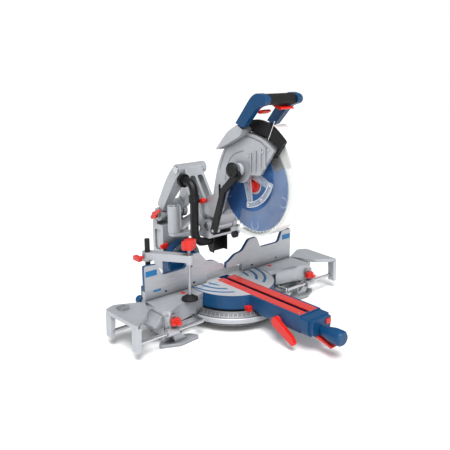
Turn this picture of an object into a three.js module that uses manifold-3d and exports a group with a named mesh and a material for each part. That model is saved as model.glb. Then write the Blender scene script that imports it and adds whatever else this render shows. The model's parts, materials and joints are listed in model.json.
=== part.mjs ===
// Double-bevel sliding mitre saw whose head glides on two pairs of hinged links.
// Millimetres, +Z up, +X to the operator's right, +Y away from the operator.
// Shapes are laid out around the mitre axis on the ground, and the whole saw is
// shifted along Y at the end so that it stands centred on the origin.

import * as THREE from 'three';
import { mergeVertices } from 'three/addons/utils/BufferGeometryUtils.js';
import Module from 'manifold-3d';

const wasm = await Module();
wasm.setup();

// ---------------------------------------------------------------- sizes

const gap = 0.35;               // clearance between pieces that touch
const pinPlay = 0.4;            // radial play of a pin in its hole

// base and turntable
const tableTop = 115;           // height of the cutting surface
const wingEnd = 327;            // half length of the base and of the fences
const wingBack = 60;            // rear edge of the wings
const wingPlate = 15;           // thickness of the wing tops
const wingWall = 6;
const turntableRadius = 146;
const turntableUnder = 69;      // underside of the turntable disc
const bowlRadius = 152;
const bowlTop = 38;
const hubRadius = 46;
const scaleOuter = 176;         // outer radius of the mitre scale ring
const scaleLow = 28;
const scaleFront = -30;         // the ring stays in front of this line
const rearFootX = 150;
const rearFootY = 235;
const footRadius = 24;

// arm, kerf plates and front controls
const armHalf = 47;
const armEnd = -352;            // front face of the arm casting
const armUnder = 57;
const kerfHalf = 39.5;
const kerfSlotLeft = 10.2;       // the slot is wider on the side a leaning blade needs
const kerfSlotRight = 5.8;
const kerfPlate = 3.5;
const kerfBack = 30;
const capEnd = -398;            // front face of the end cap
const knobHeight = 74;
const knobEnd = -478;
const knobRadius = 24;
const bevelLeverY = -267;

// bevel pivot and column
const trunnionRadius = 74;
const trunnionFront = 268;
const trunnionBack = 312;
const bevelPinRadius = 14;
const columnHalf = 60;
const columnFront = 318;
const columnBack = 384;

// glide linkage: both pairs of links have the same length and the same spread
const hingeHeight = 288;        // low hinges of the upper links
const rearHingeY = 346;
const frontHingeY = 104;
const apexHeight = 470;
const hingeRadius = 20;
const earRadius = 25;
const earInner = 44;            // ears carry the low hinges outside this half width
const tongueHalf = 42;          // link ends between the ears
const frontLinkHalf = 38;
const lowerHingeX = 110;        // upright hinges of the lower links
const lowerLinkZ = 250;
const lowerLinkThick = 12;
const drumRadius = 24;
const drumTop = 345;
const halfSpread = (rearHingeY - frontHingeY) / 2;
const apexY = (rearHingeY + frontHingeY) / 2;
const linkRise = apexHeight - hingeHeight;
const linkLength = Math.hypot(halfSpread, linkRise);
const linkLean = Math.atan2(halfSpread, linkRise);

// head
const chopY = 60;               // chop pivot
const chopZ = 302;
const chopRadius = 22;
const arborY = -110;
const arborZ = 463;
const bladeRadius = 152.5;
const bladeThick = 2.6;
const bladeX = -3;
const teeth = 60;
const guardPivotY = -86;        // lower guard pivot
const guardPivotZ = 514;
const guardCentreY = -97;       // centre of the lower guard's outline
const guardCentreZ = 487;
const guardRadius = bladeRadius + 35.5;
const guardLeft = -17;          // outer faces of the lower guard
const guardRight = 47;
const guardWall = 3;
const crankRadius = 18.1;
const crankAngle = 230;
const linkFootY = 15;           // foot hinge of the guard link
const linkFootZ = 298;
const gripY = -203;
const gripZ = 726;
const gripHalf = 56;
const handleHalf = 76;
const triggerY = -176;          // trigger pivot
const triggerZ = 716;

// fences, supports and clamp
const fenceFront = 35;
const fenceThick = 12;
const fixedFenceTop = tableTop + 30;
const fixedFenceInner = 80;
const fenceTop = tableTop + 114;
const fenceLow = tableTop + 72;
const supportEnd = wingEnd + 125; // outermost face of the extension supports
const supportLegFoot = 28;
const rodRadius = 6;
const rodHeight = 50;
const rodFrontY = -80;
const rodRearY = 40;
const rodInner = 192;           // cross bar that joins the two rods of a support
const postX = 37 - wingEnd;     // the post stands on the left wing
const postY = 70;
const postRadius = 8.5;
const postTop = tableTop + 188;
const spindleX = postX + 78;
const spindleY = -42;
const padTop = tableTop + 17;    // top of the clamp's foot
const clampArmLow = tableTop + 118;
const clampArmHigh = tableTop + 147;

// ---------------------------------------------------------------- helpers

const deg = THREE.MathUtils.degToRad;

// Turns a closed geometry into a solid that can be joined and cut.
function solid(geometry) {
  geometry.deleteAttribute('normal');
  geometry.deleteAttribute('uv');
  const merged = mergeVertices(geometry, 1e-4);
  return new wasm.Manifold(new wasm.Mesh({
    numProp: 3,
    vertProperties: new Float32Array(merged.attributes.position.array),
    triVerts: new Uint32Array(merged.index.array),
  }));
}

// Column vectors that send a shape's own u, v and depth to the saw's axes.
const planes = {
  x: [new THREE.Vector3(0, 1, 0), new THREE.Vector3(0, 0, 1), new THREE.Vector3(1, 0, 0)],
  y: [new THREE.Vector3(1, 0, 0), new THREE.Vector3(0, 0, 1), new THREE.Vector3(0, -1, 0)],
  z: [new THREE.Vector3(1, 0, 0), new THREE.Vector3(0, 1, 0), new THREE.Vector3(0, 0, 1)],
};

function turned(geometry, axis) {
  return geometry.applyMatrix4(new THREE.Matrix4().makeBasis(...planes[axis]));
}

function block(x0, x1, y0, y1, z0, z1) {
  const geometry = new THREE.BoxGeometry(x1 - x0, y1 - y0, z1 - z0);
  return solid(geometry.translate((x0 + x1) / 2, (y0 + y1) / 2, (z0 + z1) / 2));
}

// Closed outline from corners [u, v] or [u, v, fillet radius].
function outline(corners) {
  const shape = new THREE.Shape();
  const count = corners.length;
  corners.forEach(([u, v, radius = 0], index) => {
    const here = new THREE.Vector2(u, v);
    const before = new THREE.Vector2(...corners[(index + count - 1) % count].slice(0, 2));
    const after = new THREE.Vector2(...corners[(index + 1) % count].slice(0, 2));
    const reachIn = Math.min(radius, here.distanceTo(before) * 0.49);
    const reachOut = Math.min(radius, here.distanceTo(after) * 0.49);
    const start = here.clone().add(before.sub(here).setLength(reachIn));
    const end = here.clone().add(after.sub(here).setLength(reachOut));
    if (index === 0) {
      shape.moveTo(start.x, start.y);
    } else {
      shape.lineTo(start.x, start.y);
    }
    if (radius > 0) {
      shape.quadraticCurveTo(u, v, end.x, end.y);
    }
  });
  shape.closePath();
  return shape;
}

// A flat shape in the plane across an axis, filled between two places on it.
function slab(axis, shape, from, to, curveSegments = 3) {
  const depth = to - from;
  const geometry = new THREE.ExtrudeGeometry(shape, { depth, bevelEnabled: false, curveSegments });
  geometry.translate(0, 0, axis === 'y' ? -to : from);
  return solid(turned(geometry, axis));
}

// A round bar along an axis; u and v are its place across that axis. Arcs take two
// segments for each curve segment.
function bar(axis, u, v, radius, from, to, sides = 16) {
  const shape = new THREE.Shape();
  shape.absarc(u, v, radius, 0, Math.PI * 2, false);
  return slab(axis, shape, from, to, sides / 2);
}

// A straight strap with round ends between two points of a plane.
function strap(axis, first, second, radius0, radius1, from, to) {
  const direction = Math.atan2(second[1] - first[1], second[0] - first[0]);
  const length = Math.hypot(second[0] - first[0], second[1] - first[1]);
  const lean = Math.acos((radius0 - radius1) / length);
  const shape = new THREE.Shape();
  shape.absarc(...first, radius0, direction + lean, direction - lean + Math.PI * 2, false);
  shape.absarc(...second, radius1, direction - lean, direction + lean, false);
  shape.closePath();
  return slab(axis, shape, from, to, 4);
}

// A band between two radii and two angles in degrees, across an axis.
function band(axis, u, v, inner, outer, start, end, from, to, segments = 28) {
  const shape = new THREE.Shape();
  shape.absarc(u, v, outer, deg(start), deg(end), false);
  shape.absarc(u, v, inner, deg(end), deg(start), true);
  shape.closePath();
  return slab(axis, shape, from, to, segments / 2);
}

// A turned body along an axis, from [radius, place] pairs that start and end on it.
function turnedBody(axis, u, v, profile, sides = 20) {
  const points = profile.map(([radius, place]) => new THREE.Vector2(radius, place));
  const geometry = new THREE.LatheGeometry(points, sides);
  if (axis === 'x') {
    geometry.applyMatrix4(new THREE.Matrix4().makeBasis(
      new THREE.Vector3(0, 0, -1), new THREE.Vector3(1, 0, 0), new THREE.Vector3(0, -1, 0)));
    geometry.translate(0, u, v);
  } else if (axis === 'y') {
    geometry.translate(u, 0, v);
  } else {
    geometry.rotateX(Math.PI / 2).translate(u, v, 0);
  }
  return solid(geometry);
}

// A round tube or rod along a smooth path.
function hose(points, radius, steps, sides = 10) {
  const shape = new THREE.Shape();
  shape.absarc(0, 0, radius, 0, Math.PI * 2, false);
  const path = new THREE.CatmullRomCurve3(points.map((point) => new THREE.Vector3(...point)));
  return solid(new THREE.ExtrudeGeometry(shape, {
    steps, extrudePath: path, bevelEnabled: false, curveSegments: sides / 2,
  }));
}

function join(...solids) {
  return solids.reduce((whole, piece) => whole.add(piece));
}

function cut(whole, ...tools) {
  return tools.reduce((rest, tool) => rest.subtract(tool), whole);
}

// A solid mirrored to the other side of the saw.
function mirrored(shape) {
  const { vertProperties, triVerts } = shape.getMesh();
  const geometry = new THREE.BufferGeometry();
  const flipped = vertProperties.map((value, index) => (index % 3 === 0 ? -value : value));
  geometry.setAttribute('position', new THREE.BufferAttribute(flipped, 3));
  geometry.setIndex(Array.from(triVerts).reverse());
  return solid(geometry);
}

// ---------------------------------------------------------------- paints

function paint(color, roughness, metalness) {
  return new THREE.MeshStandardMaterial({ color, roughness, metalness });
}

const silver = paint(0xb9bdc4, 0.45, 0.35);
const bright = paint(0xc9ccd0, 0.3, 0.8);
const blue = paint(0x0f4a7c, 0.4, 0.1);
const red = paint(0xd8291f, 0.4, 0.05);
const black = paint(0x1c1d20, 0.6, 0.0);
const steel = paint(0x9a9da2, 0.3, 0.9);
const darkSteel = paint(0x5a5c60, 0.5, 0.6);
const bladeBlue = paint(0x2b569c, 0.35, 0.6);
const clear = paint(0xe6e8e6, 0.15, 0.0);

const saw = new THREE.Group();

function part(name, shape, material) {
  const { vertProperties, triVerts } = shape.getMesh();
  const geometry = new THREE.BufferGeometry();
  geometry.setAttribute('position', new THREE.BufferAttribute(vertProperties, 3));
  geometry.setIndex(new THREE.BufferAttribute(triVerts, 1));
  geometry.computeVertexNormals();
  const mesh = new THREE.Mesh(geometry, material);
  mesh.name = name;
  return mesh;
}

// ---------------------------------------------------------------- base

// Right half of everything outside the bowl: wing, walls, strut, foot and rod guides.
function baseWing() {
  const wingTop = tableTop - wingPlate;
  const frontCorner = [wingEnd - 13, -80];
  const plate = slab('z', outline([
    [40, wingBack], [wingEnd, wingBack, 6], [wingEnd, -62, 8], [...frontCorner, 6],
    [wingEnd - 65, -52, 14], [150, -26], [40, -26],
  ]), wingTop, tableTop);
  const opening = bar('z', 0, 0, turntableRadius + 2.5, bowlTop, tableTop + 1, 64);
  const sideWall = block(wingEnd - wingWall, wingEnd, -62, wingBack, 30, wingTop + 1);
  const frontWall = slab('z', outline([
    [182, -34], ...[[wingEnd - 65, -52, 14], frontCorner, [wingEnd - 4, -70]],
    [wingEnd - 4, -60], [wingEnd - 65, -45, 14], [182, -27],
  ]), 58, wingTop + 1);
  const webs = [-24, 10].map((y) => cut(
    block(120, wingEnd - 2, y, y + wingWall, 20, wingTop + 1),
    block(rodInner - 10, wingEnd - wingWall, y - 1, y + wingWall + 1, rodHeight - 9, rodHeight + 9),
  ));
  const foot = slab('z', outline([
    [wingEnd - 115, -90, 10], [wingEnd - 38, -96, 8], [wingEnd + 23, -66, 10],
    [wingEnd + 7, -48, 6], [wingEnd - 65, -44, 8], [wingEnd - 101, -58, 8],
  ]), 0, 10);
  const strut = slab('y', outline([
    [wingEnd - 81, 4], [wingEnd - 31, 4, 12], [wingEnd - 23, 34, 20], [wingEnd - 5, 74, 14],
    [wingEnd - 3, wingTop + 2], [wingEnd - 34, wingTop + 2], [wingEnd - 32, 78, 14],
    [wingEnd - 45, 40, 18], [wingEnd - 65, 22, 12],
  ]), -78, -58);
  const heel = block(wingEnd - 65, wingEnd, -62, -46, 6, 34);
  const shelf = slab('y', outline([
    [wingEnd - 3, 98], [wingEnd + 5, 98], [wingEnd + 30, 72, 4], [wingEnd + 30, 66, 3],
    [wingEnd - 3, 60],
  ]), -58, 6);
  const guides = [
    bar('x', rodFrontY, rodHeight, rodRadius + 7, wingEnd - 36, wingEnd + 2),
    bar('x', rodRearY, rodHeight, rodRadius + 7, wingEnd - 27, wingEnd + 2),
    block(wingEnd - 27, wingEnd, rodRearY - 4, rodRearY + 4, rodHeight, wingTop + 1),
  ];
  const bores = [
    bar('x', rodFrontY, rodHeight, rodRadius + pinPlay, rodInner + 8, wingEnd + 33),
    bar('x', rodRearY, rodHeight, rodRadius + pinPlay, rodInner + 8, wingEnd + 33),
  ];
  const wing = join(plate, sideWall, frontWall, ...webs, foot, strut, heel, shelf, ...guides);
  return cut(wing, opening, ...bores);
}

function baseCasting() {
  const bowl = join(
    bar('z', 0, 0, bowlRadius, 14, bowlTop, 48),
    bar('z', 0, 0, hubRadius, bowlTop - 2, turntableUnder - 3 - gap, 28),
  );
  const rearLeg = strap('z', [60, 90], [rearFootX, rearFootY], 34, 26, 12, 34);
  const rearFoot = bar('z', rearFootX, rearFootY, footRadius, 0, 14);
  const right = join(baseWing(), rearLeg, rearFoot);
  const postBoss = join(
    bar('z', postX, postY, 16, 78, tableTop),
    block(postX - 14, postX + 14, wingBack - 12, postY, 78, tableTop),
  );
  const whole = join(bowl, right, mirrored(right), postBoss);
  const lockBores = [-1, 1].map((side) => (
    bar('y', side * (wingEnd - 6), tableTop - 8, 4 + pinPlay, wingBack - 14, wingBack + 1)
  ));
  const postBore = bar('z', postX, postY, postRadius + gap, 84, tableTop + 1);
  return cut(whole, postBore, ...lockBores);
}

// Sloping dark ring under the turntable that carries the mitre stops.
function scaleRing() {
  const profile = [
    [bowlRadius + gap, 64], [bowlRadius + gap, scaleLow], [scaleOuter, scaleLow], [scaleOuter, 46],
    [bowlRadius + 4, 66], [bowlRadius + gap, 64],
  ];
  const points = profile.map(([radius, z]) => new THREE.Vector2(radius, z));
  const ring = solid(new THREE.LatheGeometry(points, 64).rotateX(Math.PI / 2));
  return ring.intersect(block(-200, 200, -200, scaleFront, 0, 90));
}

// ---------------------------------------------------------------- turntable

function turntableCasting() {
  const disc = bar('z', 0, 0, turntableRadius, turntableUnder, tableTop, 64);
  const hub = bar('z', 0, 0, hubRadius, turntableUnder - 3, turntableUnder + 1, 28);
  const arm = slab('y', outline([
    [-armHalf, tableTop], [-armHalf, 72], [-38, armUnder], [38, armUnder], [armHalf, 72],
    [armHalf, tableTop],
  ]), armEnd, -40);
  const ringRelief = bar('z', 0, 0, scaleOuter + 6, armUnder - 1, turntableUnder, 64);
  const tail = block(-42, 42, 60, trunnionFront + 4, bowlTop + 4, turntableUnder + 4);
  const housing = block(-70, 70, trunnionFront - 6, trunnionBack, 50, tableTop);
  const trunnion = bar('y', 0, tableTop, trunnionRadius, trunnionFront, trunnionBack - 10, 40);
  const body = join(disc, hub, cut(arm, ringRelief), tail, housing, trunnion);
  const plateSeat = block(-kerfHalf - gap, kerfHalf + gap, armEnd + 5, kerfBack + gap,
    tableTop - kerfPlate - gap, tableTop + 1);
  const kerfChannel = block(-20, 20, armEnd + 17, 48, turntableUnder + 22, tableTop + 1);
  const grooves = [-1, 1].map((side) => {
    const edges = [side * (kerfHalf + 2), side * (turntableRadius - 6)].sort((a, b) => a - b);
    return block(...edges, 11, 12.6, tableTop - 1.5, tableTop + 1);
  });
  const leverBore = bar('x', bevelLeverY, knobHeight, 6 + pinPlay, -armHalf - 1, -armHalf + 14);
  const knobBore = bar('y', 0, knobHeight, 7 + pinPlay, armEnd - 1, armEnd + 30);
  const pinBore = bar('y', 0, tableTop, bevelPinRadius + gap, trunnionFront + 8, trunnionBack + 1);
  return cut(body, plateSeat, kerfChannel, ...grooves, leverBore, knobBore, pinBore);
}

function kerfInsert(side) {
  const slotEdge = side < 0 ? kerfSlotLeft : kerfSlotRight;
  const edges = [side * slotEdge, side * kerfHalf].sort((a, b) => a - b);
  const plate = block(...edges, armEnd + 5 + gap, kerfBack, tableTop - kerfPlate, tableTop);
  const screwX = side * (kerfHalf - 9);
  const holes = [-330, -190, -50].map((y) => (
    bar('z', screwX, y, 3, tableTop - 1.4, tableTop + 1, 16)
  ));
  return cut(plate, ...holes);
}

function endCap() {
  const body = slab('y', outline([
    [-armHalf - 1, tableTop - 2, 5], [-armHalf - 1, 74, 8], [-34, 55, 6], [34, 55, 6],
    [armHalf + 1, 74, 8], [armHalf + 1, tableTop - 2, 5],
  ]), capEnd + 14, armEnd - gap);
  const nose = slab('y', outline([
    [-armHalf + 6, tableTop - 5, 5], [-armHalf + 6, 74, 8], [-28, 58, 6], [28, 58, 6],
    [armHalf - 6, 74, 8], [armHalf - 6, tableTop - 5, 5],
  ]), capEnd, capEnd + 15);
  const leverNotch = block(-15, 15, capEnd - 1, capEnd + 20, 50, 61);
  const buttonWell = block(17, 39, capEnd - 1, capEnd + 20, 86, 104);
  const shaftBore = bar('y', 0, knobHeight, 7 + pinPlay, capEnd - 1, armEnd + 1);
  return cut(join(body, nose), leverNotch, buttonWell, shaftBore);
}

function overrideButton() {
  return slab('y', outline([[18, 87, 3], [38, 87, 3], [38, 103, 3], [18, 103, 3]]),
    capEnd - 3, capEnd + 13);
}

// Ribbed cone that clamps the mitre setting, with its shaft.
function mitreKnob() {
  const body = turnedBody('y', 0, knobHeight, [
    [0, knobEnd], [knobRadius - 5, knobEnd], [knobRadius, knobEnd + 6], [knobRadius, knobEnd + 32],
    [knobRadius - 9, capEnd - 6], [knobRadius - 11, capEnd - gap], [7, capEnd - gap],
    [7, armEnd + 24], [0, armEnd + 24],
  ]);
  const flutes = Array.from({ length: 12 }, (_, index) => {
    const angle = (index / 12) * Math.PI * 2;
    const reach = knobRadius + 2.2;
    return bar('y', Math.cos(angle) * reach, knobHeight + Math.sin(angle) * reach, 3.6,
      knobEnd - 1, knobEnd + 44, 12);
  });
  return cut(body, ...flutes);
}

function detentLever() {
  return slab('x', outline([
    [capEnd + 18, 59.5, 3], [capEnd - 4, 54], [capEnd - 40, 45, 4], [capEnd - 50, 40, 3],
    [capEnd - 48, 35, 3], [capEnd - 38, 38, 4], [capEnd - 2, 47], [capEnd + 18, 51, 3],
  ]), -13, 13);
}

function bevelLockLever() {
  const blade = slab('x', outline([
    [bevelLeverY + 15, knobHeight + 4, 10], [bevelLeverY + 2, knobHeight + 16, 10],
    [bevelLeverY - 20, knobHeight + 2, 14], [-341, 43, 10], [-349, 26, 6], [-342, 19, 6],
    [-330, 24, 8], [bevelLeverY - 22, knobHeight - 30, 16], [bevelLeverY + 10, knobHeight - 15, 10],
  ]), -armHalf - 17, -armHalf - 3);
  const stub = bar('x', bevelLeverY, knobHeight, 6, -armHalf - 4, -armHalf + 13);
  const washer = bar('x', bevelLeverY, knobHeight, 14, -armHalf - 4, -armHalf - gap);
  return join(blade, stub, washer);
}

function bevelPin() {
  return turnedBody('y', 0, tableTop, [
    [0, trunnionFront + 10], [bevelPinRadius, trunnionFront + 10],
    [bevelPinRadius, columnBack + gap], [22, columnBack + gap], [22, columnBack + 10],
    [0, columnBack + 10],
  ]);
}

// Bright half ring with the bevel stops, on the front of the trunnion.
function bevelScale() {
  return band('y', 0, tableTop, 52, trunnionRadius - 4, 12, 168,
    trunnionFront - 3, trunnionFront - gap);
}

// ---------------------------------------------------------------- column and links

function column() {
  const notchLow = lowerLinkZ - 1;
  const notchHigh = hingeHeight - earRadius;
  const notchBack = rearHingeY + 8;
  const body = slab('x', outline([
    [columnFront, 84, 8], [columnFront, notchLow], [notchBack, notchLow], [notchBack, notchHigh],
    [columnBack - 4, notchHigh + 6, 8], [columnBack, 240, 10], [columnBack, 78, 10],
    [columnFront + 8, 72, 6],
  ]), -columnHalf, columnHalf);
  const back = slab('x', outline([
    [notchBack, notchLow - 20], [notchBack, hingeHeight - hingeRadius - 3],
    [columnBack - 6, hingeHeight - hingeRadius - 3, 6], [columnBack, 238],
  ]), -columnHalf, columnHalf);
  const ears = [-columnHalf, earInner].map((x) => join(
    bar('x', rearHingeY, hingeHeight, earRadius, x, x + columnHalf - earInner, 24),
    slab('x', outline([
      [notchBack, 252], [rearHingeY + 22, hingeHeight - 14], [rearHingeY + 16, hingeHeight + 16],
      [columnBack - 6, hingeHeight - 14, 8], [columnBack - 2, 252],
    ]), x, x + columnHalf - earInner),
  ));
  const bracket = join(
    block(columnHalf - 10, lowerHingeX, rearHingeY - 17, rearHingeY + 17,
      lowerLinkZ - 16, lowerLinkZ - gap),
    bar('z', lowerHingeX, rearHingeY, 17, lowerLinkZ - 16, lowerLinkZ - gap),
    bar('z', lowerHingeX, rearHingeY, 7, lowerLinkZ - 2, lowerLinkZ + lowerLinkThick + 3),
  );
  const pinBore = bar('y', 0, tableTop, bevelPinRadius + gap, columnFront - 1, columnBack + 1);
  const hingeBore = bar('x', rearHingeY, hingeHeight, 9 + gap, -columnHalf - 1, columnHalf + 1);
  const sideRelief = [-1, 1].map((side) => {
    const edges = [side * (columnHalf - 5), side * (columnHalf + 1)].sort((a, b) => a - b);
    return slab('x', outline([
      [columnFront + 14, 150, 8], [columnFront + 14, 228, 8], [columnBack - 14, 228, 8],
      [columnBack - 14, 150, 8],
    ]), ...edges);
  });
  return cut(join(body, back, ...ears, bracket), pinBore, hingeBore, ...sideRelief);
}

// Pin along X with a head at each end.
function crossPin(y, z, radius, half, headRadius, head) {
  return turnedBody('x', y, z, [
    [0, -half - head], [headRadius, -half - head], [headRadius, -half - gap], [radius, -half - gap],
    [radius, half + gap], [headRadius, half + gap], [headRadius, half + head], [0, half + head],
  ], 28);
}

// Links are drawn upright from their low hinge and then leaned by their group.
function upperRearLink() {
  const clear = earRadius + 5;
  const tongue = join(
    bar('x', 0, 0, hingeRadius, -tongueHalf, tongueHalf, 24),
    block(-tongueHalf, tongueHalf, -14, 14, 0, clear + 12),
  );
  const web = slab('x', outline([
    [-14, clear], [-14, linkLength - 30, 16], [-18, linkLength - 8], [18, linkLength + 2],
    [26, linkLength - 26, 20], [30, linkLength * 0.6, 60], [24, clear + 8, 10], [18, clear],
  ]), -columnHalf, columnHalf);
  const knuckle = bar('x', 0, linkLength, hingeRadius, -columnHalf, columnHalf, 24);
  const window = slab('y', outline([
    [-34, clear + 14, 10], [-12, linkLength - 64, 8], [12, linkLength - 64, 8],
    [34, clear + 14, 10],
  ]), -40, 60);
  const forkGap = block(-frontLinkHalf - 1, frontLinkHalf + 1, -40, 40,
    linkLength - hingeRadius - 6, linkLength + 40);
  const foldRoom = slab('x', outline([
    [-40, linkLength - 82], [-16, linkLength - 82], [13, linkLength - 22], [-40, linkLength - 22],
  ]), -frontLinkHalf - 1, frontLinkHalf + 1);
  const bores = [
    bar('x', 0, 0, 9 + gap, -columnHalf - 1, columnHalf + 1),
    bar('x', 0, linkLength, 9 + gap, -columnHalf - 1, columnHalf + 1),
  ];
  return cut(join(tongue, web, knuckle), window, forkGap, foldRoom, ...bores);
}

function upperFrontLink() {
  const body = join(
    bar('x', 0, 0, 17, -frontLinkHalf, frontLinkHalf, 24),
    bar('x', 0, linkLength, hingeRadius, -frontLinkHalf, frontLinkHalf, 24),
    slab('x', outline([
      [-15, 0], [-17, linkLength * 0.5, 60], [-18, linkLength], [16, linkLength],
      [15, linkLength * 0.5, 60], [14, 0],
    ]), -frontLinkHalf, frontLinkHalf),
  );
  const windows = [[-28, -5], [5, 28]].map(([x0, x1]) => slab('y', outline([
    [x0, 34, 8], [x0, linkLength - 36, 8], [x1, linkLength - 36, 8], [x1, 34, 8],
  ]), -40, 40));
  const bores = [
    bar('x', 0, 0, 7 + gap, -60, 60),
    bar('x', 0, linkLength, 9 + gap, -60, 60),
  ];
  return cut(body, ...windows, ...bores);
}

const elbowX = lowerHingeX - linkRise;

// Rear lower link, with the tall drum that forms the elbow of the lower pair.
function lowerRearLink() {
  const arm = strap('z', [lowerHingeX, rearHingeY], [elbowX, apexY], 16, drumRadius,
    lowerLinkZ, lowerLinkZ + lowerLinkThick);
  const drum = bar('z', elbowX, apexY, drumRadius, lowerLinkZ, drumTop, 28);
  const bores = [
    bar('z', lowerHingeX, rearHingeY, 7 + pinPlay, lowerLinkZ - 1, lowerLinkZ + 20),
    bar('z', elbowX, apexY, 8 + gap, lowerLinkZ - 1, drumTop + 1),
  ];
  return cut(join(arm, drum), ...bores);
}

function lowerFrontLink() {
  const top = lowerLinkZ - 2 * gap;
  const arm = strap('z', [lowerHingeX, frontHingeY], [elbowX, apexY], 16, drumRadius - 2,
    top - lowerLinkThick, top);
  const stub = bar('z', lowerHingeX, frontHingeY, 6, top - 1, top + 15);
  const bore = bar('z', elbowX, apexY, 8 + gap, top - 20, top + 1);
  return cut(join(arm, stub), bore);
}

function elbowPin() {
  const low = lowerLinkZ - 2 * gap - lowerLinkThick;
  return turnedBody('z', elbowX, apexY, [
    [0, -(low - 3)], [8, -(low - 3)], [8, -(drumTop + gap)], [13, -(drumTop + gap)],
    [13, -(drumTop + 5)], [0, -(drumTop + 5)],
  ].map(([radius, place]) => [radius, -place]), 28);
}

function glideLockLever() {
  const x = -columnHalf - 9;
  const body = join(
    bar('x', rearHingeY, hingeHeight, 13, x - 10, x - gap, 28),
    strap('x', [rearHingeY + 16, hingeHeight - 12], [rearHingeY - 30, hingeHeight + 20], 7, 6,
      x - 10, x - 3),
  );
  return body;
}

// ---------------------------------------------------------------- carriage and dust duct

function carriage() {
  const earHalf = columnHalf - 2;
  const ears = [-earHalf, earHalf - 18].map((x) => join(
    strap('x', [frontHingeY, hingeHeight], [chopY, chopZ], 23, 23, x, x + 18),
    block(x, x + 18, chopY - 10, frontHingeY + 22, hingeHeight - 24, hingeHeight),
  ));
  const web = block(-earHalf, earHalf, chopY - 10, frontHingeY + 22,
    hingeHeight - 27, hingeHeight - 19);
  const bracketLow = lowerLinkZ + gap;
  const bracket = join(
    block(earHalf - 10, lowerHingeX, frontHingeY - 17, frontHingeY + 17, bracketLow, bracketLow + 16),
    bar('z', lowerHingeX, frontHingeY, 17, bracketLow, bracketLow + 16),
  );
  const linkPinStub = bar('x', linkFootY, linkFootZ, 5, -earHalf - 14, -earHalf + 4);
  const nose = strap('x', [chopY, chopZ], [linkFootY, linkFootZ], 14, 9, -earHalf, -earHalf + 11.5);
  const bores = [
    bar('x', frontHingeY, hingeHeight, 7 + gap, -earHalf - 1, earHalf + 1),
    bar('x', chopY, chopZ, 9 + gap, -earHalf - 1, earHalf + 1),
    bar('z', lowerHingeX, frontHingeY, 6 + 2, bracketLow - 1, bracketLow + 20),
  ];
  return cut(join(...ears, web, bracket, nose, linkPinStub), ...bores);
}

const ductX = -86;
const ductY = 92;
const ductRadius = 15;
const ductJoint = 398;          // where the swivelling outlet sits on the pipe
const chuteHalf = 31;
const chuteFront = 58;
const chuteTop = hingeHeight - 28;
const chuteLow = 203;

// Chute behind the blade and the pipe that rises from it, moulded in one.
function dustDuct() {
  const box = slab('x', outline([
    [chuteFront, chuteLow], [chuteFront, chuteTop], [frontHingeY - 6, chuteTop, 8],
    [frontHingeY - 8, 236, 10], [frontHingeY - 24, chuteLow, 4],
  ]), -chuteHalf, chuteHalf);
  const hollow = slab('x', outline([
    [chuteFront - 1, chuteLow - 1], [chuteFront - 1, chuteTop - 3], [frontHingeY - 11, chuteTop - 3, 6],
    [frontHingeY - 12, 237, 8], [frontHingeY - 30, chuteLow - 1],
  ]), -chuteHalf + 3, chuteHalf - 3);
  const bend = [
    [ductX, ductY, 350], [ductX, ductY, 300], [ductX + 1, ductY - 1, 268],
    [ductX + 12, ductY - 8, 248], [-56, 80, 244],
  ];
  const pipe = hose([[ductX, ductY, ductJoint - gap], ...bend, [-chuteHalf + 1, 79, 244]],
    ductRadius, 15);
  const passage = hose([[ductX, ductY, ductJoint + 4], ...bend, [-chuteHalf + 5, 79, 244]],
    ductRadius - 3, 15);
  const ring = bar('z', ductX, ductY, ductRadius + 3, ductJoint - 16, ductJoint - gap);
  const bore = bar('z', ductX, ductY, ductRadius - 2.5, ductJoint - 30, ductJoint + 1);
  return cut(join(box, cut(pipe, block(-chuteHalf + 0.5, 40, 40, 110, 200, 262)), ring),
    hollow, passage, bore);
}

function dustElbow() {
  const route = [
    [ductX, ductY, ductJoint], [ductX, ductY, ductJoint + 22], [ductX, ductY + 10, ductJoint + 42],
    [ductX, ductY + 34, ductJoint + 50], [ductX, ductY + 62, ductJoint + 50],
  ];
  const bend = hose(route, ductRadius, 10);
  const passage = hose([
    [ductX, ductY, ductJoint - 4], ...route.slice(1, -1), [ductX, ductY + 72, ductJoint + 50],
  ], ductRadius - 3, 10);
  const collar = bar('z', ductX, ductY, ductRadius + 3, ductJoint, ductJoint + 8);
  const collarBore = bar('z', ductX, ductY, ductRadius - 2.5, ductJoint - 1, ductJoint + 12);
  const flange = bar('y', ductX, ductJoint + 50, 23, ductY + 50, ductY + 64, 32);
  const port = bar('y', ductX, ductJoint + 50, ductRadius - 2.5, ductY + 42, ductY + 65);
  return cut(join(bend, collar, flange), passage, collarBore, port);
}

// ---------------------------------------------------------------- head

function aroundArbor(radius, angle) {
  return [arborY + radius * Math.cos(deg(angle)), arborZ + radius * Math.sin(deg(angle))];
}

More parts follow.
